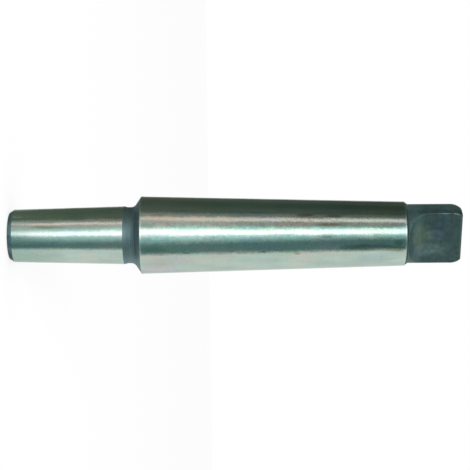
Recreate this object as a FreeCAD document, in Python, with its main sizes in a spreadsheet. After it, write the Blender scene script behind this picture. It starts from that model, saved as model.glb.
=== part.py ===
import FreeCAD, Part
import math
import os
import Sketcher

# Taper arbor: one turned, milled and ground piece of steel that joins a drill chuck to the spindle of a
# drilling machine. It stands on its chuck end with its axis along Z, and the flats of its tang face +Y
# and -Y. Lengths are in millimetres and angles in degrees.
SIZES = {
    # Chuck taper, DIN 238-1 B18: diameter at the gauge plane, length for each unit of diameter, and how
    # far the ground cone runs to each side of the gauge plane.
    "chuck_gauge_dia": 17.780,
    "chuck_taper_rate": 20.020,
    "chuck_lead": 5.0,
    "chuck_grip_len": 29.0,
    # Bevel at the free end of the chuck taper, and the rounding between it and the end face.
    "chuck_bevel_len": 1.5,
    "chuck_bevel_depth": 0.98,
    "chuck_end_radius": 0.5,
    # Neck: a short cone down from the chuck taper, a plain waist, and the shoulder of the shank with the
    # fillet at its root and its angle to the axis.
    "neck_cone_len": 1.2,
    "neck_cone_depth": 0.29,
    "neck_waist_len": 2.0,
    "neck_root_radius": 2.0,
    "shoulder_angle": 56.0,
    # Shank taper, ISO 296 and DIN 228-1 form B, size 3, given like the chuck taper. From its large end to
    # the tip of the tang the standard allows 99 mm.
    "shank_gauge_dia": 23.825,
    "shank_taper_rate": 19.922,
    "shank_lead": 5.0,
    "shank_grip_len": 76.3,
    "shank_bevel_len": 1.2,
    "shank_edge_break": 0.2,
    # Tang: a short cylinder with two milled flats, a rounded tip and broken edges.
    "tang_dia": 18.3,
    "tang_len": 16.5,
    "tang_thickness": 7.9,
    "tang_flat_len": 10.1,
    "tang_cutter_radius": 7.0,
    "tang_tip_len": 3.2,
    "tang_tip_drop": 1.2,
    "tang_end_chamfer": 0.8,
    "tang_edge_break": 0.2,
    # Centre holes, DIN 332-1 form A: a conical seat with a drilled pilot at its bottom.
    "chuck_centre_pilot_dia": 3.15,
    "chuck_centre_mouth_dia": 6.7,
    "chuck_centre_depth": 5.9,
    "tang_centre_pilot_dia": 2.5,
    "tang_centre_mouth_dia": 5.3,
    "tang_centre_depth": 4.6,
    "centre_seat_angle": 60.0,
    "centre_drill_angle": 118.0,
}

# Radii of the turned blank. Those of the two ground cones follow from their gauge planes.
CHUCK_LARGE_R = "((sizes.chuck_gauge_dia + sizes.chuck_lead / sizes.chuck_taper_rate) / 2)"
CHUCK_SMALL_R = "((sizes.chuck_gauge_dia - sizes.chuck_grip_len / sizes.chuck_taper_rate) / 2)"
CHUCK_END_R = f"({CHUCK_SMALL_R} - sizes.chuck_bevel_depth)"
NECK_R = f"({CHUCK_LARGE_R} - sizes.neck_cone_depth)"
SHANK_LARGE_R = "((sizes.shank_gauge_dia + sizes.shank_lead / sizes.shank_taper_rate) / 2)"
SHANK_SMALL_R = "((sizes.shank_gauge_dia - sizes.shank_grip_len / sizes.shank_taper_rate) / 2)"
TANG_R = "(sizes.tang_dia / 2)"
TIP_R = f"({TANG_R} - sizes.tang_tip_drop)"

# Heights above the chuck end, each one from the one before it.
CHUCK_LARGE_Z = "(sizes.chuck_bevel_len + sizes.chuck_grip_len + sizes.chuck_lead)"
NECK_FOOT_Z = f"({CHUCK_LARGE_Z} + sizes.neck_cone_len)"
NECK_TOP_Z = f"({NECK_FOOT_Z} + sizes.neck_waist_len)"
SHANK_LARGE_Z = f"({NECK_TOP_Z} + ({SHANK_LARGE_R} - {NECK_R}) / tan(sizes.shoulder_angle * 1 deg))"
SHANK_SMALL_Z = f"({SHANK_LARGE_Z} + sizes.shank_lead + sizes.shank_grip_len)"
TANG_ROOT_Z = f"({SHANK_SMALL_Z} + sizes.shank_bevel_len)"
TIP_Z = f"({TANG_ROOT_Z} + sizes.tang_len)"
TIP_ROUND_Z = f"({TIP_Z} - sizes.tang_tip_len)"

# The flats of the tang and the path of the cutter that leaves them.
FLAT_Y = "(sizes.tang_thickness / 2)"
FLAT_START_Z = f"({TIP_Z} - sizes.tang_flat_len)"
CUTTER_Y = f"({FLAT_Y} + sizes.tang_cutter_radius)"
CUTTER_FOOT_Z = f"({FLAT_START_Z} - sizes.tang_cutter_radius)"
CLEAR_Y = f"({CUTTER_Y} + sizes.tang_dia)"
CLEAR_Z = f"({TIP_Z} + sizes.tang_cutter_radius)"

# The fillet at the root of the shoulder takes up no more than the waist.
WAIST_FILLET_R = "(0.95 * sizes.neck_waist_len / tan(sizes.shoulder_angle * 0.5 deg))"
NECK_ROOT_R = f"min(sizes.neck_root_radius; {WAIST_FILLET_R})"

START, END, CENTRE = range(1, 4)  # the points of a sketch line, arc or circle
X_AXIS, Y_AXIS = range(-1, -3, -1)  # the sketch's own axes
ORIGIN = X_AXIS  # the level axis starts at the origin
LINE, TANGENT_ARC = "line", "tangent arc"  # the two kinds of edge in an outline
NEAR = 1e-4  # two lengths that differ by less are the same


def number(holder, formula):
    """The value, in millimetres or as a plain number, that a formula has at present."""
    value = holder.evalExpression(formula)
    return float(getattr(value, "Value", value))


def make_sheet(doc):
    """Fills the spreadsheet with one named cell for each driving size."""
    sheet = doc.addObject("Spreadsheet::Sheet", "sizes")
    for row, (name, value) in enumerate(SIZES.items(), start=1):
        sheet.set(f"A{row}", name)
        sheet.set(f"B{row}", str(value))
        sheet.setAlias(f"B{row}", name)
    doc.recompute()


def origin_plane(body, role):
    """One of the body's own three origin planes."""
    return next(plane for plane in body.Origin.OriginFeatures if plane.Role == role)


def add_sketch(body, name, plane):
    """An empty sketch on one of the body's origin planes."""
    sketch = body.newObject("Sketcher::SketchObject", name)
    sketch.AttachmentSupport = [(origin_plane(body, plane), "")]
    sketch.MapMode = "FlatFace"
    sketch.Visibility = False
    body.Document.recompute()
    return sketch


def bind(sketch, kind, references, name, formula):
    """Adds a dimension to the sketch and ties it to a formula."""
    index = sketch.addConstraint(Sketcher.Constraint(kind, *references, number(sketch, formula)))
    sketch.renameConstraint(index, name)
    sketch.setExpression(f"Constraints.{name}", formula)


def place_corner(sketch, edge, name, across, along):
    """Dimensions the start of an edge from the two axes. A distance of None puts it on that axis."""
    if across is None:
        sketch.addConstraint(Sketcher.Constraint("PointOnObject", edge, START, Y_AXIS))
    else:
        bind(sketch, "DistanceX", (ORIGIN, START, edge, START), f"{name}_across", across)
    if along is None:
        sketch.addConstraint(Sketcher.Constraint("PointOnObject", edge, START, X_AXIS))
    else:
        bind(sketch, "DistanceY", (ORIGIN, START, edge, START), f"{name}_along", along)


def tangent_arc(before, start, end):
    """The left-hand arc from start to end that carries on the line from before to start."""
    heading = (start - before).normalize()
    inward = FreeCAD.Vector(-heading.y, heading.x, 0)
    chord = end - start
    radius = chord.dot(chord) / (2 * chord.dot(inward))
    centre = start + inward * radius
    angles = [math.atan2(point.y - centre.y, point.x - centre.x) for point in (start, end)]
    return Part.ArcOfCircle(Part.Circle(centre, FreeCAD.Vector(0, 0, 1), radius), *angles)


def draw_outline(sketch, corners):
    """Draws a closed outline, anticlockwise. A corner is its name, its distances from the upright and the
    level axis, and the kind of edge that leaves it."""
    points = []
    for _, across, along, _ in corners:
        points.append(FreeCAD.Vector(number(sketch, across or "0"), number(sketch, along or "0"), 0))
    for index, corner in enumerate(corners):
        here = points[index]
        there = points[(index + 1) % len(points)]
        if corner[3] == TANGENT_ARC:
            sketch.addGeometry(tangent_arc(points[index - 1], here, there), False)
        else:
            sketch.addGeometry(Part.LineSegment(here, there), False)
    for index, (name, across, along, kind) in enumerate(corners):
        joint = "Tangent" if kind == TANGENT_ARC else "Coincident"
        previous = (index - 1) % len(corners)
        sketch.addConstraint(Sketcher.Constraint(joint, previous, END, index, START))
        place_corner(sketch, index, name, across, along)
    sketch.Document.recompute()


def edge_names(shape, wanted):
    """The names of the edges of a shape for which wanted is true."""
    return [f"Edge{index}" for index, edge in enumerate(shape.Edges, start=1) if wanted(edge)]


def is_ring(edge, radius, height):
    """Whether an edge is the full circle of that radius round the axis at that height."""
    curve = edge.Curve
    return (
        isinstance(curve, Part.Circle)
        and abs(curve.Radius - radius) < NEAR
        and abs(curve.Center.z - height) < NEAR
    )


def turn_blank(body):
    """Revolves half of the lengthwise section: both tapers, the neck and the round tang."""
    sketch = add_sketch(body, "turned_outline", "XZ_Plane")
    corners = [
        ("axis_foot", None, None, LINE),
        ("chuck_end", CHUCK_END_R, None, LINE),
        ("chuck_small", CHUCK_SMALL_R, "sizes.chuck_bevel_len", LINE),
        ("chuck_large", CHUCK_LARGE_R, CHUCK_LARGE_Z, LINE),
        ("neck_foot", NECK_R, NECK_FOOT_Z, LINE),
        ("neck_top", NECK_R, NECK_TOP_Z, LINE),
        ("shank_large", SHANK_LARGE_R, SHANK_LARGE_Z, LINE),
        ("shank_small", SHANK_SMALL_R, SHANK_SMALL_Z, LINE),
        ("tang_root", TANG_R, TANG_ROOT_Z, LINE),
        ("tip_round", TANG_R, TIP_ROUND_Z, TANGENT_ARC),
        ("tip_corner", TIP_R, TIP_Z, LINE),
        ("axis_tip", None, TIP_Z, LINE),
    ]
    draw_outline(sketch, corners)
    blank = body.newObject("PartDesign::Revolution", "turned_blank")
    blank.Profile = sketch
    blank.ReferenceAxis = (sketch, ["V_Axis"])
    blank.Angle = 360
    body.Document.recompute()
    return blank


def round_edges(body, base, name, edges, formula):
    """Rounds the named edges with one radius."""
    fillet = body.newObject("PartDesign::Fillet", name)
    fillet.Base = (base, edges)
    fillet.setExpression("Radius", formula)
    body.Document.recompute()
    return fillet


def chamfer_edges(body, base, name, edges, formula):
    """Breaks the named edges evenly."""
    chamfer = body.newObject("PartDesign::Chamfer", name)
    chamfer.Base = (base, edges)
    chamfer.setExpression("Size", formula)
    body.Document.recompute()
    return chamfer


def finish_rings(body, blank):
    """The neck's root fillet, the rounding of the chuck end and the broken edge of the shank."""
    rings = (
        ("neck_root", round_edges, NECK_R, NECK_TOP_Z, NECK_ROOT_R),
        ("chuck_end_rounding", round_edges, CHUCK_END_R, "0", "sizes.chuck_end_radius"),
        ("shank_edge", chamfer_edges, SHANK_LARGE_R, SHANK_LARGE_Z, "sizes.shank_edge_break"),
    )
    base = blank
    for name, make, radius, height, size in rings:
        radius, height = number(base, radius), number(base, height)
        edges = edge_names(base.Shape, lambda edge: is_ring(edge, radius, height))
        base = make(body, base, name, edges, size)
    return base


def mill_flats(body):
    """Cuts one flat with the round run-out of its cutter, and mirrors the cut to the other side."""
    sketch = add_sketch(body, "flat_outline", "YZ_Plane")
    corners = [
        ("flat_tip", FLAT_Y, CLEAR_Z, LINE),
        ("flat_start", FLAT_Y, FLAT_START_Z, TANGENT_ARC),
        ("cutter_foot", CUTTER_Y, CUTTER_FOOT_Z, LINE),
        ("clear_foot", CLEAR_Y, CUTTER_FOOT_Z, LINE),
        ("clear_tip", CLEAR_Y, CLEAR_Z, LINE),
    ]
    draw_outline(sketch, corners)
    flat = body.newObject("PartDesign::Pocket", "milled_flat")
    flat.Profile = sketch
    flat.SideType = "Symmetric"
    flat.Type = "ThroughAll"
    body.Document.recompute()
    flats = body.newObject("PartDesign::Mirrored", "milled_flats")
    flats.Originals = [flat]
    flats.MirrorPlane = (origin_plane(body, "XZ_Plane"), [""])
    body.Tip = flats
    body.Document.recompute()
    return flats


def break_tang_edges(body, flats):
    """Bevels the end edges of the flats, then breaks their long edges."""
    flat_y, tip_z = number(flats, FLAT_Y), number(flats, TIP_Z)

    def is_end_edge(edge):
        box = edge.BoundBox
        at_tip = abs(box.ZMin - tip_z) < NEAR and abs(box.ZMax - tip_z) < NEAR
        return at_tip and box.YLength < NEAR and abs(abs(box.YMin) - flat_y) < NEAR

    ends = edge_names(flats.Shape, is_end_edge)
    bevels = chamfer_edges(body, flats, "tang_end_bevels", ends, "sizes.tang_end_chamfer")

    tang_r = number(flats, TANG_R)
    flat_start, tip_round = number(flats, FLAT_START_Z), number(flats, TIP_ROUND_Z)

    def is_long_edge(edge):
        box = edge.BoundBox
        upright = box.XLength < NEAR and box.YLength < NEAR
        on_flat = abs(abs(box.YMin) - flat_y) < NEAR and abs(box.XMin) < tang_r
        return upright and on_flat and flat_start - NEAR < box.ZMin and box.ZMax < tip_round + NEAR

    long_edges = edge_names(bevels.Shape, is_long_edge)
    return chamfer_edges(body, bevels, "tang_long_edges", long_edges, "sizes.tang_edge_break")


def drill_centre(body, end, height, upwards):
    """Drills one centre hole into an end, along the axis."""
    sketch = add_sketch(body, f"{end}_centre_place", "XY_Plane")
    sketch.setExpression("AttachmentOffset.Base.z", height)
    pilot = f"sizes.{end}_centre_pilot_dia"
    circle = Part.Circle(FreeCAD.Vector(), FreeCAD.Vector(0, 0, 1), number(sketch, pilot) / 2)
    sketch.addGeometry(circle, False)
    sketch.addConstraint(Sketcher.Constraint("Coincident", 0, CENTRE, ORIGIN, START))
    bind(sketch, "Diameter", (0,), "pilot_dia", pilot)
    body.Document.recompute()
    hole = body.newObject("PartDesign::Hole", f"{end}_centre_hole")
    hole.Profile = sketch
    hole.Reversed = upwards
    hole.DepthType = "Dimension"
    hole.HoleCutType = "Countersink"
    hole.HoleCutCustomValues = True
    hole.DrillPoint = "Angled"
    hole.setExpression("Diameter", pilot)
    hole.setExpression("HoleCutDiameter", f"sizes.{end}_centre_mouth_dia")
    hole.setExpression("HoleCutCountersinkAngle", "sizes.centre_seat_angle")
    hole.setExpression("Depth", f"sizes.{end}_centre_depth")
    hole.setExpression("DrillPointAngle", "sizes.centre_drill_angle")
    body.Document.recompute()
    return hole


def check(doc, steps):
    """Stops the build if anything failed, or if a step left the volume as it was."""
    for item in doc.Objects:
        if "Invalid" in item.State or "Error" in item.State:
            raise RuntimeError(f"{item.Name} failed: {item.State}")
    for before, after in zip(steps, steps[1:]):
        shape = after.Shape
        if shape.isNull() or not shape.isValid() or len(shape.Solids) != 1:
            raise RuntimeError(f"{after.Name} is not one valid solid")
        if abs(shape.Volume - before.Shape.Volume) < NEAR:
            raise RuntimeError(f"{after.Name} changed nothing")
        print(f"{after.Name}: {shape.Volume - before.Shape.Volume:+.3f} mm3")


def main():
    """Builds the arbor and writes it to parts/arbor.step."""
    doc = FreeCAD.newDocument("taper_arbor")
    make_sheet(doc)
    body = doc.addObject("PartDesign::Body", "arbor")
    blank = turn_blank(body)
    turned = finish_rings(body, blank)
    flats = mill_flats(body)
    tang = break_tang_edges(body, flats)
    chuck_centre = drill_centre(body, "chuck", "0", True)
    tang_centre = drill_centre(body, "tang", TIP_Z, False)
    check(doc, [blank, turned, flats, tang, chuck_centre, tang_centre])

    shape = body.Shape
    os.makedirs("parts", exist_ok=True)
    shape.exportStep(f"parts/{body.Label}.step")
    box = shape.optimalBoundingBox(True, False)
    print(f"{body.Label}: {box.XLength:.3f} x {box.YLength:.3f} x {box.ZLength:.3f} mm")
    print(f"{shape.Volume:.1f} mm3, centre of gravity {shape.CenterOfGravity.z:.2f} mm above the chuck end")


main()
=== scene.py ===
# %% [markdown]
# # A taper arbor
# The arbor joins a drill chuck to the spindle of a drilling machine. It is one piece of steel: a short
# ground taper for the chuck, a dark turned neck, a long ground taper for the spindle, and a tang with two
# milled flats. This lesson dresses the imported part. It works out one smooth surface from the arbor's own
# sizes, gives it ground and unground steel, and then builds the small studio that the steel mirrors.

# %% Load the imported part
import math

import bpy
import numpy as np
from mathutils import Matrix, Vector


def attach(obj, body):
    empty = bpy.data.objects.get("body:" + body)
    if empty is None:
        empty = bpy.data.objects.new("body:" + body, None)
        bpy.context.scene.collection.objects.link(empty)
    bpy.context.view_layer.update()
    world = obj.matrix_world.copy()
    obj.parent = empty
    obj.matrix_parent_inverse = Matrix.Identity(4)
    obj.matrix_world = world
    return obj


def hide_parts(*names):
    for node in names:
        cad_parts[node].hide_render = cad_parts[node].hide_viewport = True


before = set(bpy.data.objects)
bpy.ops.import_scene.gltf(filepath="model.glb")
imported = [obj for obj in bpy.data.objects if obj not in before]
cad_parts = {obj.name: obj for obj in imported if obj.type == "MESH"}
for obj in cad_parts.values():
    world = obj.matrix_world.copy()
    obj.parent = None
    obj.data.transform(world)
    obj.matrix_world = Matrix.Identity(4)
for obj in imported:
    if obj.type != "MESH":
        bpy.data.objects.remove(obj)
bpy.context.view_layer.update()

# %% [markdown]
# ## Sizes
# The arbor stands on its chuck end, so heights run up the axis from there. A ground cone is known by its
# gauge plane: the diameter there, and the length over which the diameter changes by one. Writing the two
# tapers in that way, and not as radii at their ends, keeps them true to the gauges that test such parts.

# %% Sizes in millimetres
MM = 0.001
CHUCK_GAUGE_DIA, CHUCK_TAPER = 17.780, 20.020
SHANK_GAUGE_DIA, SHANK_TAPER = 23.825, 19.922
CHUCK_BEVEL, CHUCK_BEVEL_DEPTH = 1.5, 0.98
CHUCK_GRIP, CHUCK_LEAD = 29.0, 5.0
NECK_CONE, NECK_DEPTH, NECK_WAIST = 1.2, 0.29, 2.0
SHOULDER_ANGLE = math.radians(56)
SHANK_LEAD, SHANK_LEN, SHANK_BEVEL = 5.0, 81.3, 1.2
TANG_R, TANG_LEN = 9.15, 16.5
TANG_HALF, FLAT_LEN, CUTTER_R = 3.95, 10.1, 7.0
TIP_LEN, TIP_DROP, END_BEVEL = 3.2, 1.2, 0.8

CHUCK_GAUGE_Z = CHUCK_BEVEL + CHUCK_GRIP
CHUCK_LARGE_Z = CHUCK_GAUGE_Z + CHUCK_LEAD
NECK_FOOT_Z = CHUCK_LARGE_Z + NECK_CONE
NECK_TOP_Z = NECK_FOOT_Z + NECK_WAIST


def chuck_radius(z):
    """The chuck taper, 1 in 20.020 on the diameter, 17.780 wide at its gauge plane."""
    return (CHUCK_GAUGE_DIA + (z - CHUCK_GAUGE_Z) / CHUCK_TAPER) / 2


NECK_R = chuck_radius(CHUCK_LARGE_Z) - NECK_DEPTH
SHANK_LARGE_R = (SHANK_GAUGE_DIA + SHANK_LEAD / SHANK_TAPER) / 2
SHANK_LARGE_Z = NECK_TOP_Z + (SHANK_LARGE_R - NECK_R) / math.tan(SHOULDER_ANGLE)


def shank_radius(z):
    """The shank taper, 1 in 19.922 on the diameter, which gets smaller towards the tang."""
    return SHANK_LARGE_R - (z - SHANK_LARGE_Z) / SHANK_TAPER / 2


SHANK_SMALL_Z = SHANK_LARGE_Z + SHANK_LEN
TANG_ROOT_Z = SHANK_SMALL_Z + SHANK_BEVEL
TIP_Z = TANG_ROOT_Z + TANG_LEN
FLAT_START_Z = TIP_Z - FLAT_LEN
print("height, mm:", round(TIP_Z, 3), "shank from", round(SHANK_LARGE_Z, 3), "to", round(SHANK_SMALL_Z, 3))

# %% [markdown]
# ## The turned outline
# A lathe makes the blank, so half of its lengthwise section says all of its round form. Real edges are
# never quite sharp, and it is the small rounding that catches the light. So the outline is a list of
# corners, each with its own radius, and one function trims the corners and puts an arc into each.


# %% Round the corners of an outline
def rounded(corners, spacing=1.2, turn_step=math.radians(9), margin=0.05):
    """Points along an outline given as (radius from the axis, height, corner radius) rows. At a corner that
    turns by an angle t, the two straight runs end corner radius * tan(t / 2) early, and an arc joins them.
    A straight run gets a point every spacing, and one close to each arc, which keeps its shading flat."""
    places = np.array([corner[:2] for corner in corners], dtype=float)
    pieces = [places[:1]]
    for i in range(1, len(corners) - 1):
        radius = corners[i][2]
        inward, outward = places[i] - places[i - 1], places[i + 1] - places[i]
        inward, outward = inward / np.linalg.norm(inward), outward / np.linalg.norm(outward)
        turn = math.atan2(inward[0] * outward[1] - inward[1] * outward[0], inward @ outward)
        cut = radius * math.tan(abs(turn) / 2)
        towards_centre = np.array([-inward[1], inward[0]]) * math.copysign(1, turn)
        centre = places[i] - inward * cut + towards_centre * radius
        angles = np.linspace(0, abs(turn), max(2, math.ceil(abs(turn) / turn_step)) + 1)[:, None]
        arc = centre + radius * (inward * np.sin(angles) - towards_centre * np.cos(angles))
        pieces += [places[i] - inward * (cut + margin), arc, places[i] + outward * (cut + margin)]
    pieces.append(places[-1:])
    knots = np.vstack(pieces)
    along = np.concatenate([[0], np.cumsum(np.linalg.norm(np.diff(knots, axis=0), axis=1))])
    knots, along = knots[np.r_[True, np.diff(along) > 1e-6]], along[np.r_[True, np.diff(along) > 1e-6]]
    parts = [np.linspace(a, b, math.ceil((b - a) / spacing) + 1)[:-1] for a, b in zip(along, along[1:])]
    stations = np.concatenate([*parts, along[-1:]])
    return np.stack([np.interp(stations, along, knots[:, i]) for i in (0, 1)], axis=1)


# %% [markdown]
# The outline has three stretches: the centre hole and face of the chuck end, the outside, and the face and
# centre hole of the tang end. A seam on each end face parts them. The centre holes are hidden in use, but
# every such arbor has them, because it ran between two centres while it was turned and ground.

# %% The three stretches of the outline
CHUCK_PILOT_R, CHUCK_MOUTH_R, CHUCK_SEAM_R = 1.575, 3.35, 5.5
CHUCK_SEAT_DEEP, CHUCK_PILOT_DEEP, CHUCK_POINT_DEEP = 3.07, 5.9, 6.85
TANG_PILOT_R, TANG_MOUTH_R, TANG_SEAM_R = 1.25, 2.65, 7.0
TANG_SEAT_DEEP, TANG_PILOT_DEEP, TANG_POINT_DEEP = 2.42, 4.6, 5.35
CHUCK_END_R = chuck_radius(CHUCK_BEVEL) - CHUCK_BEVEL_DEPTH
TIP_ARC_R = (TIP_LEN**2 + TIP_DROP**2) / (2 * TIP_DROP)
tip_angles = np.linspace(0, math.asin(TIP_LEN / TIP_ARC_R), 12)[1:-1]
tip_arc = [
    (TANG_R - TIP_ARC_R * (1 - math.cos(a)), TIP_Z - TIP_LEN + TIP_ARC_R * math.sin(a), 0.01)
    for a in tip_angles
]
chuck_end = rounded(
    [
        (0, CHUCK_POINT_DEEP, 0),
        (CHUCK_PILOT_R, CHUCK_PILOT_DEEP, 0.1),
        (CHUCK_PILOT_R, CHUCK_SEAT_DEEP, 0.1),
        (CHUCK_MOUTH_R, 0, 0.1),
        (CHUCK_SEAM_R, 0, 0),
    ]
)
outside = rounded(
    [
        (CHUCK_SEAM_R, 0, 0),
        (CHUCK_END_R, 0, 0.5),
        (chuck_radius(CHUCK_BEVEL), CHUCK_BEVEL, 0.25),
        (chuck_radius(CHUCK_LARGE_Z), CHUCK_LARGE_Z, 0.3),
        (NECK_R, NECK_FOOT_Z, 0.8),
        (NECK_R, NECK_TOP_Z, 2.0),
        (SHANK_LARGE_R, SHANK_LARGE_Z, 0.25),
        (shank_radius(SHANK_SMALL_Z), SHANK_SMALL_Z, 0.12),
        (TANG_R, TANG_ROOT_Z, 0.3),
        (TANG_R, TIP_Z - TIP_LEN, 0.01),
        *tip_arc,
        (TANG_R - TIP_DROP, TIP_Z, 0.25),
        (TANG_SEAM_R, TIP_Z, 0),
    ]
)
tang_end = rounded(
    [
        (TANG_SEAM_R, TIP_Z, 0),
        (TANG_MOUTH_R, TIP_Z, 0.1),
        (TANG_PILOT_R, TIP_Z - TANG_SEAT_DEEP, 0.1),
        (TANG_PILOT_R, TIP_Z - TANG_PILOT_DEEP, 0.1),
        (0, TIP_Z - TANG_POINT_DEEP, 0),
    ]
)
print("outline points:", len(chuck_end), len(outside), len(tang_end))

# %% [markdown]
# ## The milled flats
# A cutter of 7 mm radius passed along both sides of the tang. Where it lifted out, it left its own round.
# So each flat is a distance from the axis that depends on the height alone: it follows the cutter's arc,
# runs even along the flat, and is drawn in at the bevelled end. The outline gets more rows there, one for
# each 2.5 degrees of the cutter's arc.


# %% Distance of the flats from the axis
def flat_distance(z):
    """Half the tang's thickness, plus what the cutter's arc rises below the flat's start, R - sqrt(R^2 - d^2)
    for a depth d below it, less the bevel at the end."""
    depth = np.clip(FLAT_START_Z - z, 0, CUTTER_R - 1e-6)
    run_out = CUTTER_R - np.sqrt(CUTTER_R**2 - depth**2)
    bevel = np.clip(z - (TIP_Z - END_BEVEL), 0, END_BEVEL)
    return TANG_HALF + run_out - bevel


cutter_angles = np.radians(np.arange(0, 82, 2.5))
flat_rows_z = np.concatenate(
    [FLAT_START_Z - CUTTER_R * np.sin(cutter_angles), TIP_Z - END_BEVEL + np.array([-0.08, 0, 0.08])]
)
rising = outside[1:, 1] - outside[:-1, 1] > 1e-9
first, last = np.argmax(rising), len(rising) - np.argmax(rising[::-1])
own_z, least_gap = outside[first : last + 1, 1], 0.03
new_z = flat_rows_z[np.abs(flat_rows_z[:, None] - own_z).min(axis=1) > least_gap]
all_z = np.sort(np.concatenate([own_z, new_z]))
all_r = np.interp(all_z, own_z, outside[first : last + 1, 0])
outside = np.vstack([outside[:first], np.stack([all_r, all_z], axis=1), outside[last + 1 :]])
print("rows of the outside:", len(outside), "of which for the flats:", len(new_z))

# %% [markdown]
# ## Columns that follow the flats' edges
# A grid shades well only where its lines run along the form's own edges. The edge of a flat stands at an
# angle w from the flat's middle, with cos w = flat distance / radius. So each quarter of the turn has some
# columns on the flat, a tight bunch at the edge, and some on the round side. Down the shank, where there is
# no flat, the bunch stays put and does no harm.


# %% Angles of the columns
def smooth(share):
    """Runs from 0 to 1 with level ends: 3 s^2 - 2 s^3."""
    share = np.clip(share, 0, 1)
    return share * share * (3 - 2 * share)


LEAST = math.radians(5)
OWN_W = math.acos(TANG_HALF / TANG_R)


def edge_angle(radius, distance, z):
    """The angle acos(distance / radius) of a flat's edge, never under 5 degrees, and eased back to the
    tang's own angle along the last 20 mm below apex_z, where the cutter's arc meets the round tang."""
    real = np.arccos(np.clip(distance / radius, -1, 1))
    apex_z = FLAT_START_Z - math.sqrt(CUTTER_R**2 - (CUTTER_R + TANG_HALF - TANG_R) ** 2)
    eased = OWN_W + (LEAST - OWN_W) * smooth((z - apex_z + 20) / 20)
    return np.where(z < apex_z, eased, np.maximum(real, LEAST))


FLAT_STEPS, SIDE_STEPS = 20, 16
BUNCH = np.array([-0.9, -0.6, -0.38, -0.2, -0.09, 0, 0.05, 0.1, 0.17, 0.27, 0.4])


def column_angles(radius, edge):
    """Angles from a flat's middle over a quarter turn, one row for each outline point: even steps up to the
    bunch, the bunch's offsets in mm along the surface, and even steps to the quarter's end."""
    radius, edge = np.atleast_1d(radius)[:, None], np.atleast_1d(edge)[:, None]
    per_mm = np.where(BUNCH < 0, np.cos(edge), 1) / np.maximum(radius, 6)
    squeeze = np.minimum(1, edge / math.radians(30))
    bunch = edge + BUNCH * per_mm * squeeze
    flat = bunch[:, :1] * np.arange(FLAT_STEPS) / FLAT_STEPS
    side = bunch[:, -1:] + (math.pi / 2 - bunch[:, -1:]) * np.arange(1, SIDE_STEPS + 1) / SIDE_STEPS
    return np.hstack([flat, bunch, side])


def full_turn(quarter):
    """Repeats a quarter turn of angles four times, mirrored each time, with no angle twice."""
    half = np.hstack([quarter, math.pi - quarter[:, -2:0:-1]])
    return np.hstack([half, half + math.pi])


print("columns:", full_turn(column_angles(9.0, OWN_W)).shape[1])

# %% [markdown]
# ## One surface for the whole arbor
# The round form and the two flats meet where the nearer of the two wins. A plain minimum would leave a knife
# edge, so a smooth minimum rounds it by a chosen width, a little more here and less there as on a used tang.
# The end face has no height to follow: its rows shrink from the tang's outline to the centre hole's mouth.


# %% Distance of the surface from the axis
def smooth_minimum(a, b, width):
    """The smaller of a and b, rounded where they are closer than width: min(a, b) - width * k^2 / 4, where
    k falls from 1 to 0 as the difference grows from nothing to width."""
    k = np.clip(1 - np.abs(a - b) / width, 0, 1)
    return np.minimum(a, b) - width * k * k / 4


def from_axis_to_flat(radius, z, angles):
    """How far out the flat stands in each direction: its distance / cos(angle from its middle). It is drawn
    in a little more where the tip is rounded, and 99 mm stands for no flat at all."""
    distance = flat_distance(z) - 0.6 * np.clip(TANG_R - TIP_DROP - radius, 0, 0.25) * (z > TIP_Z - 0.3)
    from_middle = np.abs((angles + math.pi / 2) % math.pi - math.pi / 2)
    flat = distance[:, None] / np.maximum(np.cos(from_middle), 0.02)
    return np.where(z[:, None] > FLAT_START_Z - CUTTER_R * 0.99, flat, 99.0)


def outside_distance(radius, z, angles):
    """The smooth minimum of the turned radius and of the flat, rounded by 0.24 mm, a third more or less."""
    worn = 0.24 + 0.08 * np.sin(2.1 * z) * np.sin(0.9 * z + 1.3)
    return smooth_minimum(radius[:, None], from_axis_to_flat(radius, z, angles), worn[:, None])


out_r, out_z = outside[:, 0], outside[:, 1]
out_angles = full_turn(column_angles(out_r, edge_angle(np.maximum(out_r, 8), flat_distance(out_z), out_z)))
out_grid = outside_distance(out_r, out_z, out_angles)

turned_edges = np.array([CHUCK_BEVEL, SHANK_SMALL_Z])
round_wear = 0.6 * np.exp(-(((out_z[:, None] - turned_edges) / 0.25) ** 2)).max(axis=1)[:, None]
flat_wear = np.clip(1 - np.abs(out_r[:, None] - from_axis_to_flat(out_r, out_z, out_angles)) / 0.5, 0, 1)
out_wear = np.maximum(round_wear, flat_wear * smooth((out_z[:, None] - FLAT_START_Z + 3) / 5))

face = (tang_end[:, 1] > TIP_Z - 1e-9) & (tang_end[:, 0] > TANG_MOUTH_R + 0.15)
face_share = ((tang_end[:, 0] - TANG_MOUTH_R) / (TANG_SEAM_R - TANG_MOUTH_R))[:, None]
rim_grid = outside_distance(np.array([TANG_SEAM_R]), np.array([TIP_Z]), out_angles[-1:])
in_grid = np.where(face[:, None], TANG_MOUTH_R + face_share * (rim_grid - TANG_MOUTH_R), tang_end[:, :1])
print("tang at its end, mm:", round(2 * out_grid[-1].min(), 2), "by", round(2 * out_grid[-1].max(), 2))

# %% [markdown]
# The same two distances also tell where a hand and the drift wedge wear the steel bright: along the flats'
# edges, where they are equal, and at the turned edges. That goes into the mesh as an attribute.
#
# Three grids of distances and angles become one mesh. Each row is a ring of points, each pair of rings gives
# a band of four-sided faces, and a fan of triangles closes the point of each centre hole. Every face also
# learns its finish from the height of its band: ground on the two tapers, dull everywhere else.

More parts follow.
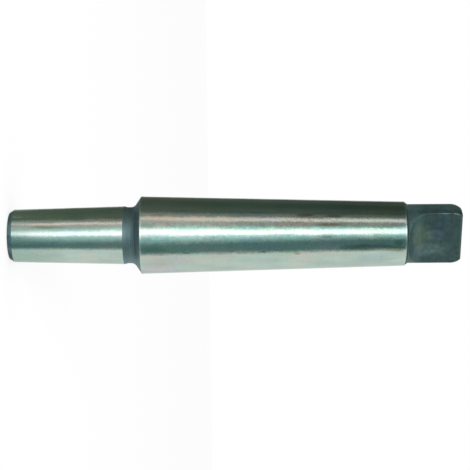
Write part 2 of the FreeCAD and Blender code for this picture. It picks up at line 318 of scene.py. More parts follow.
# %% Rings of points
chuck_rows, tang_rows = chuck_end[1:-1], tang_end[1:-1]
columns = out_angles.shape[1]
heights = np.concatenate([chuck_rows[:, 1], out_z, tang_rows[:, 1]])
distances = np.vstack([np.tile(chuck_rows[:, :1], (1, columns)), out_grid, in_grid[1:-1]])
chuck_angles = np.tile(out_angles[:1], (len(chuck_rows), 1))
tang_angles = np.tile(out_angles[-1:], (len(tang_rows), 1))
angles = np.vstack([chuck_angles, out_angles, tang_angles])
wear = np.vstack([np.zeros_like(chuck_angles), out_wear, np.zeros_like(tang_angles)])
upright = np.tile(heights[:, None], (1, columns))
rings = np.stack([distances * np.sin(angles), distances * np.cos(angles), upright], axis=2)
print("rings:", rings.shape[0], "of", columns, "points")


# %% Rings to a mesh
def closed_mesh(name, rings, first_pole, last_pole):
    """Joins neighbouring rings with four-sided faces and closes both ends with fans, all facing outwards."""
    count, around = rings.shape[:2]
    vertices = np.vstack([rings.reshape(-1, 3), first_pole, last_pole])
    index = np.arange(count * around).reshape(count, around)
    turned = np.roll(index, -1, axis=1)
    quads = np.stack([index[:-1], index[1:], turned[1:], turned[:-1]], axis=2).reshape(-1, 4)
    start = np.stack([np.full(around, count * around), index[0], turned[0]], axis=1)
    end = np.stack([np.full(around, count * around + 1), turned[-1], index[-1]], axis=1)
    corners = np.concatenate([quads.ravel(), start.ravel(), end.ravel()])
    sizes = np.concatenate([np.full(len(quads), 4), np.full(2 * around, 3)])
    mesh = bpy.data.meshes.new(name)
    mesh.vertices.add(len(vertices))
    mesh.vertices.foreach_set("co", (vertices * MM).astype(np.float32).ravel())
    mesh.loops.add(len(corners))
    mesh.loops.foreach_set("vertex_index", corners.astype(np.int32))
    mesh.polygons.add(len(sizes))
    mesh.polygons.foreach_set("loop_start", np.concatenate([[0], np.cumsum(sizes)[:-1]]).astype(np.int32))
    mesh.polygons.foreach_set("use_smooth", np.ones(len(sizes), dtype=bool))
    mesh.update(calc_edges=True)
    mesh.validate()
    return mesh


def volume(mesh):
    """The sum over all triangles of a . (b x c) / 6, which is positive when faces point outwards."""
    mesh.calc_loop_triangles()
    place = np.empty(len(mesh.vertices) * 3)
    mesh.vertices.foreach_get("co", place)
    corner = np.empty(len(mesh.loop_triangles) * 3, dtype=np.int32)
    mesh.loop_triangles.foreach_get("vertices", corner)
    a, b, c = place.reshape(-1, 3)[corner.reshape(-1, 3)].transpose(1, 0, 2)
    return (a * np.cross(b, c)).sum() / 6


def in_scene(name, data):
    """A new object with this name and data, put into the scene."""
    made = bpy.data.objects.new(name, data)
    bpy.context.scene.collection.objects.link(made)
    return made


arbor_mesh = closed_mesh("arbor_surface", rings, [[0, 0, chuck_end[0, 1]]], [[0, 0, tang_end[-1, 1]]])
edge_wear = arbor_mesh.attributes.new("edge_wear", "FLOAT", "POINT")
edge_wear.data.foreach_set("value", np.concatenate([wear.ravel(), [0, 0]]).astype(np.float32))
print("triangles:", len(arbor_mesh.loop_triangles), "volume, mm3:", round(volume(arbor_mesh) * 1e9, 1))
arbor = in_scene("arbor_surface", arbor_mesh)
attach(arbor, "root")
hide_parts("arbor")

# %% [markdown]
# ## Writing shader maths as expressions
# A finish is a sum of small patterns, and node by node that is slow to read. Here one class stands for a
# socket, and its operators add the Math nodes, so that a pattern reads like a formula. Any other node comes
# from one method, which takes the node's type, its settings and what goes into its sockets.


# %% A socket that can be calculated with
class Signal:
    """A number or colour that travels along a socket. The operators put Math nodes behind it."""

    def __init__(self, tree, socket):
        self.tree, self.socket = tree, socket

    def node(self, kind, settings=None, inputs=None, output=0):
        """Adds a node: its settings first (a ramp's stops as (place, colour) rows), then its inputs."""
        made = self.tree.nodes.new(kind)
        for key, setting in (settings or {}).items():
            if key == "stops":
                ramp = made.color_ramp.elements
                while len(ramp) < len(setting):
                    ramp.new(0.5)
                for element, (place, colour) in zip(ramp, setting):
                    element.position, element.color = place, (*colour, 1)
            else:
                setattr(made, key, setting)
        for key, given in (inputs or {}).items():
            if isinstance(given, Signal):
                self.tree.links.new(given.socket, made.inputs[key])
            else:
                made.inputs[key].default_value = given
        return Signal(self.tree, made.outputs[output] if made.outputs else None)

    def math(self, operation, *values, clamp=False):
        return self.node("ShaderNodeMath", {"operation": operation, "use_clamp": clamp}, dict(enumerate(values)))

    def __add__(self, other):
        return self.math("ADD", self, other)

    def __sub__(self, other):
        return self.math("SUBTRACT", self, other)

    def __rsub__(self, other):
        return self.math("SUBTRACT", other, self)

    def __mul__(self, other):
        return self.math("MULTIPLY", self, other)

    def __truediv__(self, other):
        return self.math("DIVIDE", self, other)

    def __pow__(self, other):
        return self.math("POWER", self, other)

    __radd__, __rmul__ = __add__, __mul__

    def between(self, start, end):
        """Runs smoothly from 0 at start to 1 at end, or back where end is the smaller."""
        low, high, to_low, to_high = (start, end, 0.0, 1.0) if start < end else (end, start, 1.0, 0.0)
        spans = {"Value": self, "From Min": low, "From Max": high, "To Min": to_low, "To Max": to_high}
        return self.node("ShaderNodeMapRange", {"interpolation_type": "SMOOTHSTEP"}, spans)

    def around(self, centre, half, soft):
        """A window: 1 within half of the centre, fading to 0 over soft on either side."""
        off = self.math("ABSOLUTE", self - centre)
        return off.between(half + soft, half)

    def mix(self, first, second):
        """The first colour where this is 0 and the second where it is 1."""
        ends = [given if isinstance(given, Signal) else (*given, 1) for given in (first, second)]
        return self.node("ShaderNodeMix", {"data_type": "RGBA"}, {0: self, 6: ends[0], 7: ends[1]}, 2)


def emptied(owner):
    """Empties the nodes of a material or world, and gives a signal to build on."""
    owner.use_nodes = True
    owner.node_tree.nodes.clear()
    return Signal(owner.node_tree, None)


def new_metal(name):
    """A new material with a Principled shader, the signal to build on, and the shader itself."""
    material = bpy.data.materials.new(name)
    base = emptied(material)
    shader = base.node("ShaderNodeBsdfPrincipled")
    base.node("ShaderNodeOutputMaterial", None, {"Surface": shader})
    return material, base, shader.socket.node


# %% [markdown]
# ## Patterns that stay on the steel
# Every pattern is laid out in millimetres on the arbor itself, so it stays on the steel from all sides. The
# marks that the photograph shows need two directions more: across its picture, and towards its camera. They
# follow from the angle at which the arbor was photographed, 22.7 degrees beside the middle of one flat.

# %% Places, noise and soft spots
PHOTO_COS, PHOTO_SIN = 0.9225, 0.386


def position_in_mm(base):
    """Place on the arbor in millimetres, as three signals."""
    place = base.node("ShaderNodeTexCoord", None, None, 3)
    parts = place.node("ShaderNodeSeparateXYZ", None, {0: place}).socket.node
    return [Signal(base.tree, parts.outputs[i]) * 1000.0 for i in range(3)]


def as_photographed(x, y):
    """The place in millimetres across the picture, -x cos + y sin, and towards its camera, -x sin - y cos."""
    return x * -PHOTO_COS + y * PHOTO_SIN, x * -PHOTO_SIN + y * -PHOTO_COS


def noise(base, x, y, z, detail=2.0, roughness=0.5, warp=0.0):
    """Noise round 0.5 over the given coordinates, whose factors say how long it is in each direction."""
    vector = base.node("ShaderNodeCombineXYZ", None, {0: x, 1: y, 2: z})
    inputs = {"Vector": vector, "Scale": 1.0, "Detail": detail, "Roughness": roughness, "Distortion": warp}
    return base.node("ShaderNodeTexNoise", None, inputs)


def patch(along, across, at, half, ragged, tear=3.0):
    """A soft spot: 1 where ((along - a) / p)^2 + ((across - b) / q)^2 is small, 0 where it is over 1. A
    ragged pattern tears its outline."""
    off = ((along - at[0]) / half[0]) ** 2.0 + ((across - at[1]) / half[1]) ** 2.0
    return (off + (ragged - 0.5) * tear).between(1.25, 0.2)


def tinted(mask, colour, tint):
    """The colour, multiplied by a tint where the mask is 1."""
    inputs = {0: mask, 6: colour, 7: (*tint, 1)}
    return mask.node("ShaderNodeMix", {"data_type": "RGBA", "blend_type": "MULTIPLY"}, inputs, 2)


def scaled(colour, factor):
    """The colour, made lighter or darker by a factor."""
    return factor.node("ShaderNodeVectorMath", {"operation": "SCALE"}, {0: colour, "Scale": factor})


def connect(shader, **inputs):
    """Links signals to the shader's sockets, named with _ for a space."""
    for name, signal in inputs.items():
        signal.tree.links.new(signal.socket, shader.inputs[name.replace("_", " ")])


# %% [markdown]
# ## Ground steel
# The two tapers were ground while the arbor turned, so their scratches run round it. They spread a
# reflection lengthwise but hardly sideways: that is why a ground taper shows the room as long bands. In the
# shader that is anisotropy with its direction turned a quarter. On top come faint rings of differing
# brightness, soft clouds and small dark specks, all of them noise that is longer one way than the other.

# %% Grain, clouds and specks
ground, base, shader = new_metal("ground_steel")
x, y, z = position_in_mm(base)
across, towards = as_photographed(x, y)
facing = towards.between(1.0, 4.0)

fine_rings = noise(base, x * 0.04, y * 0.04, z * 6.0, detail=3.0)
broad_rings = noise(base, x * 0.03, y * 0.03, z * 0.45)
clouds = noise(base, x * 0.3, y * 0.3, z * 0.09, detail=4.0)
hues = noise(base, x * 0.26 + 9.0, y * 0.26, z * 0.07, detail=2.0)
specks = noise(base, x * 2.2, y * 2.2, z * 1.8, detail=3.0, roughness=0.7)
speckled = specks.between(0.52, 0.66) * noise(base, x * 0.2, y * 0.2, z * 0.12).between(0.38, 0.60)
waves = noise(base, x * 0.35, y * 0.35, z * 0.16, detail=3.0)
ticks = noise(base, x * 0.33, y * 0.33, z * 0.8, detail=1.0)
streaks = noise(base, x * 0.55, y * 0.55, z * 1.9, detail=1.0) * clouds.between(0.40, 0.58)
print("nodes of the patterns:", len(base.tree.nodes))

# %% [markdown]
# Handling left stains on the ground steel: a long brown mark near the tang, a spotted one across the
# highlight from it, and many small ones. Each is a soft spot with a place, a size and a tint, which
# multiplies the steel's own colour, and only on the side that the photograph shows. The place across counts
# upwards in the picture. Near the shoulder, darker mottles are painted on both sides of the highlight,
# where its reflected edges waver.

# %% Colour and stains of the ground steel
steel_colour = hues.between(0.48, 0.64).mix((0.424, 0.542, 0.474), (0.475, 0.533, 0.468))
chuck_shade = z.between(20.0, 9.0) * across.between(0.5, -2.5)
steel_colour = tinted(chuck_shade, steel_colour, (0.76, 0.84, 0.86))
steel_colour = tinted(hues.between(0.46, 0.32), steel_colour, (0.95, 0.95, 1.04))
resting_mark = patch(z, across, (111.9, -4.4), (11.0, 1.1), clouds, 3.6) * facing
steel_colour = tinted(resting_mark * 0.9, steel_colour, (0.62, 0.60, 0.52))
spotted = patch(z, across, (93.6, 4.15), (11.0, 1.6), clouds) * facing * specks.between(0.47, 0.6)
steel_colour = tinted(spotted * 0.5, steel_colour, (0.62, 0.60, 0.58))

# Each row: height, place across, half length and half width in mm, and the tint.
stains = [
    (97.6, -0.75, 2.2, 0.5, (0.62, 0.68, 0.66)),
    (119.8, -2.6, 1.6, 1.1, (0.62, 0.70, 0.66)),
    (98.2, 2.8, 4.2, 0.55, (0.68, 0.62, 0.60)),
    (91.0, 5.8, 2.8, 0.5, (0.62, 0.58, 0.52)),
    (100.1, 5.4, 2.8, 0.55, (0.62, 0.58, 0.52)),
    (12.7, 2.5, 6.2, 0.6, (0.66, 0.62, 0.60)),
    (88.9, -5.95, 1.2, 0.34, (0.62, 0.66, 0.60)),
    (55.0, -5.5, 1.4, 0.36, (0.62, 0.66, 0.62)),
    (78.6, -5.3, 1.0, 0.32, (0.62, 0.66, 0.62)),
    (43.6, 2.65, 2.9, 0.7, (0.78, 0.80, 0.80)),
    (42.8, -1.4, 2.2, 0.7, (0.80, 0.84, 0.84)),
    (97.9, -3.4, 4.8, 1.5, (1.16, 0.98, 1.12)),
    (105.4, -2.3, 2.7, 0.8, (1.16, 1.02, 1.14)),
    (46.8, -10.2, 6.5, 1.6, (1.06, 0.94, 1.05)),
    (48.5, -8.6, 3.2, 0.5, (0.98, 0.98, 0.84)),
    (24.0, -6.2, 3.6, 1.6, (1.12, 0.99, 0.97)),
    (5.5, -6.3, 4.5, 1.6, (0.90, 1.00, 0.93)),
    (90.6, -6.2, 2.0, 0.5, (1.14, 0.98, 0.98)),
    (51.0, -7.6, 11.0, 1.9, (1.07, 0.95, 0.96)),
    (84.0, -6.0, 9.0, 0.7, (0.98, 1.00, 0.91)),
    (75.0, -2.0, 4.5, 1.4, (0.90, 0.96, 1.04)),
    (55.0, -4.6, 12.0, 0.8, (0.94, 1.00, 0.94)),
    (44.6, -4.3, 4.8, 0.9, (0.74, 0.86, 0.78)),
    (62.5, -4.0, 2.6, 0.5, (0.90, 0.98, 1.12)),
    (112.5, -4.45, 7.0, 0.42, (1.38, 1.16, 1.20)),
    (115.3, -6.85, 1.7, 0.36, (0.86, 0.94, 0.88)),
]
for at_z, at_across, half_z, half_across, tint in stains:
    stain = patch(z, across, (at_z, at_across), (half_z, half_across), clouds, 1.6) * facing
    steel_colour = tinted(stain, steel_colour, tint)

# Painted mottles: darker spots stand in for the wavering reflection at the highlight's edges near the shoulder.
painted_mottle = noise(base, x * 0.8, y * 0.8, z * 0.9, detail=2.0).between(0.44, 0.60)
near_shoulder = z.between(38.0, 46.0)
painted_mottle_below = painted_mottle * across.around(-1.9, 1.2, 0.9) * near_shoulder * facing
steel_colour = tinted(painted_mottle_below * 0.9, steel_colour, (0.84, 0.92, 0.94))
painted_mottle_above = painted_mottle * across.around(3.0, 0.5, 0.5) * near_shoulder * facing
steel_colour = tinted(painted_mottle_above * 0.9, steel_colour, (0.78, 0.84, 0.84))
print("stains in the list:", len(stains))

# %% [markdown]
# Rings, clouds and specks change how light the steel is and how rough, by a few parts in a hundred. The
# edges at both ends of the shank are duller from being touched often, and paler partly from that wear and
# partly from a painted highlight where their small rounding catches light.
# The bump is some 0.03 mm deep and lets the long bands waver a little, as they do on the real one.

# %% The ground finish
large_rim = z.around(SHANK_LARGE_Z + 0.2, 0.15, 0.2)
small_rim = z.around(SHANK_SMALL_Z - 0.2, 0.12, 0.15)
# The rims are paler partly from wear and partly from a painted highlight where the edge catches light.
rim = large_rim + small_rim * 0.8
grain = (fine_rings - 0.5) * 0.10
tone = 1.0 + rim * 0.2 + grain + (broad_rings - 0.5) * 0.10 + (clouds - 0.5) * 0.36 - speckled * 0.08
roughness = 0.205 + grain + (clouds - 0.5) * 0.12 + speckled * 0.15 + spotted * 0.06 + rim * 0.3
height = waves * 1.3 + (ticks * 1.5 + streaks * 0.7) * z.between(5.0, 16.0)
bump = base.node("ShaderNodeBump", None, {"Strength": 1.0, "Distance": 0.00003, "Height": height})
connect(shader, Base_Color=scaled(steel_colour, tone), Roughness=roughness, Normal=bump)
shader.inputs["Metallic"].default_value = 1.0
shader.inputs["Anisotropic"].default_value = 0.85
shader.inputs["Anisotropic Rotation"].default_value = 0.25
shader.inputs["Specular Tint"].default_value = (0.82, 0.82, 0.82, 1)
print("ground steel nodes:", len(base.tree.nodes))

# %% [markdown]
# ## Dull steel
# Nothing fits against the neck, the end bevels and the tang, so they kept the dark skin of hardening. The
# neck is bluer and shows the rings of the turning tool. The tang is a darker green-blue, mottled, with
# patches of temper colour on the flat that the photograph shows. They are listed in the same way as the
# stains, with a strength for each.

# %% Skin of the dull steel
dull, base, shader = new_metal("dull_steel")
x, y, z = position_in_mm(base)
across, towards = as_photographed(x, y)
facing = towards.between(1.0, 3.0)
mottle = noise(base, x * 0.7, y * 0.7, z * 0.7, detail=4.0, roughness=0.6)
blotches = noise(base, x * 0.3, y * 0.3, z * 0.35, detail=3.0, warp=0.6)
tool_rings = noise(base, x * 0.05, y * 0.05, z * 3.2, detail=3.0)
on_neck = z.between(70.0, 50.0)
on_tang = 1.0 - on_neck
skin = on_neck.mix((0.057, 0.112, 0.107), (0.098, 0.160, 0.166))
skin = tinted(blotches.between(0.52, 0.66) * on_tang, skin, (0.95, 0.99, 1.07))

# Each row: height, place across, half length and half width in mm, strength and tint.
temper_patches = [
    (127.1, -0.9, 3.4, 4.2, 0.9, (1.60, 1.34, 1.06)),
    (129.4, -5.3, 5.0, 2.3, 0.8, (1.60, 1.24, 1.34)),
    (133.3, 2.6, 2.4, 4.6, 0.8, (0.90, 0.96, 1.14)),
    (131.4, -0.6, 3.4, 1.9, 0.8, (1.60, 1.42, 1.55)),
    (131.0, -6.7, 4.8, 1.6, 0.9, (2.10, 1.95, 1.85)),
]
for at_z, at_across, half_z, half_across, strength, tint in temper_patches:
    spot = patch(z, across, (at_z, at_across), (half_z, half_across), blotches, 1.4) * facing
    skin = tinted(spot * strength, skin, tint)
# Painted light: the lower part of the flat is made paler and lighter.
lower_face_painted_light = across.between(-1.5, -5.5) * z.between(125.5, 130.5) * z.between(138.0, 133.0) * facing
skin = tinted(lower_face_painted_light, skin, (1.38, 1.50, 1.45))
print("temper patches:", len(temper_patches))

# %% [markdown]
# Light and shade are painted into the skin. It is painted lighter over the upper part of the chuck end's
# bevel and darker along its lower side, lighter low on the neck, along the tang's upper round and on the lower
# part of its flat, where light falls, and darker in the two inner corners as painted shade. It is also darker
# on the flats. Where the mesh says that the edges are worn, hands and the drift wedge have rubbed the skin
# away, most of all towards the tip.

# %% The dull finish
# Painted light and shade on the chuck end's bevel: lighter over its upper part, darker along its lower side.
bevel_painted_light_and_shade = z.between(1.9, 1.2) * (0.50 - across.between(-2.5, -6.5) * 1.05)
on_flat = base.math("ABSOLUTE", y).between(5.2, 4.2) * z.between(124.7, 128.7)
# Painted shade in the inner corner at the tang's root.
root_corner_painted_shade = z.around(SHANK_SMALL_Z + 0.38, 0.12, 0.15)
# Painted light along the tang's upper round.
upper_round_painted_light = across.between(6.4, 8.2) * on_tang
# Painted reflection: lighter low on the neck.
neck_painted_reflection = across.between(-5.5, -8.5) * z.between(30.0, 34.0) * on_neck
# Painted shade in the inner corner at the shoulder's foot.
shoulder_corner_painted_shade = z.around(39.6, 0.5, 0.8)
worn = base.node("ShaderNodeAttribute", {"attribute_name": "edge_wear"}, None, 2)
on_run_out = z.between(128.5, 126.5) * z.between(123.6, 124.4)
tone = 1.0 + (mottle - 0.5) * (0.45 + on_tang * 0.35) + (tool_rings - 0.5) * (0.25 + on_neck * 0.6)
# The painted light and the painted shade go into the tone on this line and the next.
tone = tone + bevel_painted_light_and_shade + upper_round_painted_light * 0.4 + neck_painted_reflection * 0.45 + lower_face_painted_light * 0.12
tone = tone - on_flat * 0.30 - root_corner_painted_shade * 0.5 - shoulder_corner_painted_shade * 0.2 - worn * on_run_out * 0.3

to_tip = z.between(127.5, 130.5) * 0.43 + z.between(133.0, 135.5) * 0.45 - z.between(138.0, 139.2) * 0.9
rubbed = (worn + (mottle - 0.5) * 1.3).between(0.70, 1.10) * (0.12 + to_tip)
colour = (rubbed * 0.5).mix(scaled(skin, tone), (0.36, 0.44, 0.42))
roughness = 0.52 + on_neck * 0.04 + (mottle - 0.5) * 0.2 - rubbed * 0.12
connect(shader, Base_Color=colour, Roughness=roughness, Metallic=0.65 + on_neck * 0.2)
print("dull steel nodes:", len(base.tree.nodes))

# %% [markdown]
# A face's finish follows from its height. The borders lie on edges that the lathe made, so they are sharp.
# Faces near the axis belong to the centre holes and stay dull.

# %% Finish of every face
HOLES_WITHIN = 5.0
arbor_mesh.materials.append(ground)
arbor_mesh.materials.append(dull)
middle = np.empty(len(arbor_mesh.polygons) * 3)
arbor_mesh.polygons.foreach_get("center", middle)
middle = middle.reshape(-1, 3) / MM
on_chuck = (middle[:, 2] > CHUCK_BEVEL) & (middle[:, 2] < CHUCK_LARGE_Z)
on_shank = (middle[:, 2] > SHANK_LARGE_Z) & (middle[:, 2] < SHANK_SMALL_Z)
outer = np.hypot(middle[:, 0], middle[:, 1]) > HOLES_WITHIN
finish = np.where((on_chuck | on_shank) & outer, 0, 1).astype(np.int32)
arbor_mesh.polygons.foreach_set("material_index", finish)
arbor_mesh.update()
print("ground faces:", int((finish == 0).sum()), "dull faces:", int((finish == 1).sum()))

# %% [markdown]
# ## The camera
# The arbor lies across the photograph, with its tang to the right. It stands in the library, so the camera
# lies on its side instead: what is up for the arbor is to the right for the camera. It looks at the axis
# from 22.7 degrees beside the middle of one flat.

# %% Camera
CAMERA_SIDE, ROLL = math.radians(-22.7), 0.006
CAMERA_AWAY, AIM_HEIGHT, AIM_DROP = 0.426, 0.06991, 0.00014
back = Vector((math.sin(CAMERA_SIDE), -math.cos(CAMERA_SIDE), 0))
axis = Vector((0, 0, 1))
picture_up = back.cross(axis)
camera_right = math.cos(ROLL) * axis - math.sin(ROLL) * picture_up
camera_up = math.sin(ROLL) * axis + math.cos(ROLL) * picture_up
camera_place = CAMERA_AWAY * back + AIM_HEIGHT * axis - AIM_DROP * picture_up
camera_data = bpy.data.cameras.new("camera")
camera_data.lens, camera_data.sensor_width = 104.89, 36.0
camera_data.clip_start, camera_data.clip_end = 0.01, 20
camera = in_scene("camera", camera_data)
turn = Matrix((camera_right, camera_up, back)).transposed().to_4x4()
camera.matrix_world = Matrix.Translation(camera_place) @ turn
bpy.context.scene.camera = camera
bpy.context.scene.view_settings.view_transform = "Standard"
print("camera at, mm:", [round(1000 * side, 1) for side in camera_place])

# %% [markdown]
# ## The room
# Polished metal has little colour of its own and shows what is round it. The photograph was taken in a
# white surround, with boards and a lamp beside the camera. The surround is a plain white world and a white
# floor that still takes the arbor's soft shadow: the floor glows three quarters of the way to white for rays
# that see it plainly, and is matt paper for the rest.


# %% World and floor
def seen_plainly(base):
    """1 for a ray straight from the camera, off a shiny surface or through a clear one, and 0 for others."""
    rays = base.node("ShaderNodeLightPath").socket.node
    kinds = ("Is Camera Ray", "Is Glossy Ray", "Is Transmission Ray")
    direct, mirrored, through = [Signal(base.tree, rays.outputs[kind]) for kind in kinds]
    return base.math("ADD", direct + mirrored, through, clamp=True)


world = bpy.data.worlds.new("white_surround")
room = emptied(world)
soft = room.node("ShaderNodeBackground", None, {"Color": (1, 1, 1, 1), "Strength": 1.0})
plain = room.node("ShaderNodeBackground", None, {"Color": (1, 1, 1, 1), "Strength": 1.0})
surround = room.node("ShaderNodeMixShader", None, {0: seen_plainly(room), 1: soft, 2: plain})
room.node("ShaderNodeOutputWorld", None, {"Surface": surround})
bpy.context.scene.world = world

floor_mesh = bpy.data.meshes.new("floor")
floor_mesh.from_pydata([(-3, -3, 0), (3, -3, 0), (3, 3, 0), (-3, 3, 0)], [], [(0, 1, 2, 3)])
floor = in_scene("floor", floor_mesh)
paper = bpy.data.materials.new("white_floor")
sheet = emptied(paper)
matt = sheet.node("ShaderNodeBsdfDiffuse", None, {"Color": (0.9, 0.9, 0.9, 1)})
glow = sheet.node("ShaderNodeEmission", None, {"Color": (1, 1, 1, 1), "Strength": 1.0})
covered = sheet.node("ShaderNodeMixShader", None, {0: seen_plainly(sheet) * 0.75, 1: matt, 2: glow})
sheet.node("ShaderNodeOutputMaterial", None, {"Surface": covered})
floor_mesh.materials.append(paper)
print("floor across, m:", floor.dimensions.x)

# %% [markdown]
# ## The cards
# Between the arbor and that surround stand a few curved cards, as a photographer of metal puts them. They
# are cut for reflections: a card that should be mirrored at an angle a from the camera's direction stands
# a little short of a, because the mirroring point lies beside the axis. Their edges fade, and only the
# metal sees them. Each one bends out along the floor at its foot, so that the lowest steel mirrors it too.
# The steel is reckoned as 10.5 mm from the axis, about the middle of its tapers, and 8.3 mm at the foot.


# %% Curved cards with soft edges
STEEL_R, CHUCK_STEEL_R = 10.5, 8.3
TOP_GIVEN_AT = 120.0
TONE_SPAN = 140.0


def card_azimuth(seen_at, radius, surface):
    """Where on a circle round the axis a reflection seen at an angle a comes from: a - asin(r / R sin(a/2))."""
    return seen_at - np.arcsin(surface / radius * np.sin(seen_at / 2))


def card_mesh(name, radius, foot, top):
    """An arc round the axis carried up a profile that starts flat on the floor and then stands upright. Its
    sides are reflection angles in degrees, given at its foot and at 120 mm, with a steady change between."""
    share = np.linspace(0, 1, 49)
    out = np.array([7.3, 8.3, 9.4, 11, 14, 19, 27, 36, radius - 5, radius - 1.5, radius, radius, radius])
    up = np.array([0.05, 0.1, 0.15, 0.15, 0.15, 0.15, 0.15, 0.15, 0.15, 1.5, 5.0, TOP_GIVEN_AT, 320.0])
    surface = np.minimum(np.where(up < 1, CHUCK_STEEL_R, STEEL_R), out)
    raised = np.clip(up / TOP_GIVEN_AT, 0, 1)[:, None]
    sides = (1 - raised) * np.array(foot) + raised * np.array(top)
    seen_at = np.radians(sides[:, :1] + (sides[:, 1:] - sides[:, :1]) * share)
    around = card_azimuth(seen_at, out[:, None], surface[:, None])
    outwards = np.cos(around)[:, :, None] * np.array(back) + np.sin(around)[:, :, None] * np.array(picture_up)
    points = out[:, None, None] * outwards + up[:, None, None] * np.array(axis)
    rows, count = points.shape[:2]
    index = np.arange(rows * count).reshape(rows, count)
    quads = np.stack([index[:-1, :-1], index[:-1, 1:], index[1:, 1:], index[1:, :-1]], axis=2).reshape(-1, 4)
    mesh = bpy.data.meshes.new(name)
    mesh.from_pydata((points.reshape(-1, 3) * MM).tolist(), [], quads.tolist())
    uv = np.stack([np.tile(share, rows), np.repeat(np.linspace(0, 1, rows), count)], axis=1)
    mesh.uv_layers.new(name="across").data.foreach_set("uv", uv[quads.ravel()].ravel())
    return mesh


def card_material(name, span, tones, strength, fades):
    """A glow whose colour follows (height, colour) rows. The fades say over how many degrees of the card's
    span at its foot its two sides are soft, and 0 leaves a side sharp."""
    material = bpy.data.materials.new(name)
    face = emptied(material)
    place = face.node("ShaderNodeUVMap", {"uv_map": "across"})
    width = place.node("ShaderNodeSeparateXYZ", None, {0: place})
    solid = 1.0
    if fades[0]:
        solid = width.between(0.0, fades[0] / span)
    if fades[1]:
        solid = width.between(1.0, 1.0 - fades[1] / span) * solid
    height = position_in_mm(face)[2] / TONE_SPAN
    stops = [(at / TONE_SPAN, tone) for at, tone in tones]
    colour = face.node("ShaderNodeValToRGB", {"stops": stops}, {0: height})
    lit = {"Base Color": (0, 0, 0, 1), "Specular IOR Level": 0.0, "Emission Color": colour}
    glow = face.node("ShaderNodeBsdfPrincipled", None, {**lit, "Emission Strength": strength})
    clear = face.node("ShaderNodeBsdfTransparent")
    mixed = face.node("ShaderNodeMixShader", None, {0: solid, 1: clear, 2: glow})
    face.node("ShaderNodeOutputMaterial", None, {"Surface": mixed})
    return material


def for_metal_only(made):
    """Hides a card from everything but mirrored rays."""
    made.visible_camera = made.visible_diffuse = made.visible_shadow = False
    made.visible_transmission = made.visible_volume_scatter = False


def card(name, radius, foot, top, tones, strength=1.0, fades=(0, 0)):
    """A card from one reflection angle to another, upwards in the picture counting as more."""
    mesh = card_mesh(name, radius, foot, top)
    mesh.materials.append(card_material(name, foot[1] - foot[0], tones, strength, fades))
    made = in_scene(name, mesh)
    for_metal_only(made)
    return made


# %% [markdown]
# The room round the photographed arbor was not evenly bright, so each card has a row of tones for its
# height. Seen upwards in the picture come a blue-grey card below, pale strips and a lamp in the middle, a grey
# and a warm one above them, and olive ones at the top.

# %% The eight cards
blue_grey = [(0, (0.18, 0.28, 0.29)), (60, (0.17, 0.27, 0.28)), (115, (0.13, 0.225, 0.23))]
mid_grey = [
    (0, (0.60, 0.57, 0.56)), (25, (0.72, 0.67, 0.66)), (60, (0.66, 0.61, 0.60)),
    (90, (0.46, 0.42, 0.41)), (115, (0.40, 0.385, 0.375)),
]
pale = [
    (0, (0.76, 1.01, 1.03)), (25, (0.80, 1.05, 1.08)), (48, (0.97, 1.26, 1.30)),
    (72, (0.86, 1.10, 1.13)), (100, (0.78, 1.06, 1.09)),
]
upper_pale = [
    (0, (0.54, 0.78, 0.76)), (25, (1.05, 1.30, 1.28)), (43, (1.08, 1.27, 1.25)),
    (62, (0.86, 1.18, 1.12)), (95, (0.66, 1.04, 0.95)),
]
lamp_tones = [
    (0, (1.00, 1.00, 1.12)), (22, (1.00, 0.87, 0.97)),
    (60, (1.00, 0.87, 0.97)), (115, (0.72, 0.67, 0.73)),
]
warm = [
    (0, (1.60, 1.10, 1.05)), (30, (1.60, 1.10, 1.05)), (45, (1.30, 0.96, 0.91)),
    (75, (1.50, 1.13, 1.08)), (115, (1.46, 1.21, 1.20)),
]
olive = [
    (0, (0.150, 0.180, 0.140)), (25, (0.158, 0.169, 0.138)), (45, (0.138, 0.146, 0.123)),
    (70, (0.118, 0.138, 0.112)), (92, (0.108, 0.126, 0.116)), (118, (0.080, 0.101, 0.083)),
]
deep_olive = [
    (0, (0.126, 0.165, 0.122)), (25, (0.118, 0.148, 0.110)), (45, (0.096, 0.115, 0.096)),
    (70, (0.076, 0.105, 0.078)), (92, (0.068, 0.092, 0.080)), (118, (0.050, 0.070, 0.054)),
]
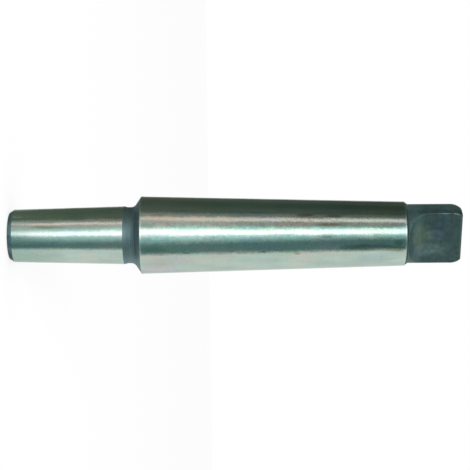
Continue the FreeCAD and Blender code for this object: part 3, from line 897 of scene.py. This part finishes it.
cards = [
    card("blue_grey_card", 50, (-67.5, 6), (-68.2, 6), blue_grey, fades=(16, 0)),
    card("mid_card", 50, (6, 64), (6, 64), mid_grey),
    card("pale_strip", 48, (-40, 6), (-24, 6), pale, fades=(40, 0)),
    card("upper_pale_strip", 49, (6, 38), (6, 27.5), upper_pale, fades=(0, 21)),
    card("warm_strip", 48, (44.5, 60), (37.5, 58.3), warm, fades=(5.5, 6)),
    card("olive_card", 47, (46, 172), (40.5, 170), olive, fades=(31, 22)),
    card("deep_olive_card", 46.5, (84, 150), (78, 124), deep_olive, fades=(30, 18)),
    card("lamp_strip", 46, (-7, 26), (-3.5, 16.2), lamp_tones, 2.1, fades=(10, 18)),
]
print("cards:", [made.name for made in cards])

# %% [markdown]
# The ceiling over the photograph's set was dim. The bevel at the tang's end looks straight up into it, so a
# round grey card lies across the tops of the others.

# %% Ceiling card
CEILING_R, CEILING_Z, CORNERS = 0.056, 0.3205, 48
turns = np.linspace(0, 2 * math.pi, CORNERS, endpoint=False)
ring = np.stack([CEILING_R * np.cos(turns), CEILING_R * np.sin(turns), np.full(CORNERS, CEILING_Z)], axis=1)
ceiling_mesh = bpy.data.meshes.new("ceiling_card")
ceiling_mesh.from_pydata(ring.tolist(), [], [list(range(CORNERS - 1, -1, -1))])
grey = bpy.data.materials.new("ceiling_card")
over = emptied(grey)
dim = over.node("ShaderNodeEmission", None, {"Color": (0.20, 0.24, 0.235, 1), "Strength": 1.0})
over.node("ShaderNodeOutputMaterial", None, {"Surface": dim})
ceiling_mesh.materials.append(grey)
ceiling = in_scene("ceiling_card", ceiling_mesh)
for_metal_only(ceiling)
print("ceiling card at, mm:", round(1000 * CEILING_Z, 1))

# %% [markdown]
# ## Light
# The white world already lights everything evenly. One tall soft lamp stands behind the lamp strip, where
# the photograph's own light stood, and gives dull steel its direction.

# %% Soft lamp
LAMP_AWAY, LAMP_AIM_Z = 0.8, 0.07
lamp_data = bpy.data.lights.new("soft_lamp", "AREA")
lamp_data.shape, lamp_data.size, lamp_data.size_y, lamp_data.energy = "RECTANGLE", 0.22, 0.5, 2.5
lamp = in_scene("soft_lamp", lamp_data)
beside, above = math.radians(9), math.radians(28)
lamp_ray = math.cos(above) * (math.cos(beside) * back + math.sin(beside) * picture_up) + math.sin(above) * axis
lamp_place = LAMP_AIM_Z * axis + LAMP_AWAY * lamp_ray
lamp.matrix_world = Matrix.Translation(lamp_place) @ lamp_ray.to_track_quat("Z", "Y").to_matrix().to_4x4()
print("lamp at, mm:", [round(1000 * side) for side in lamp_place])
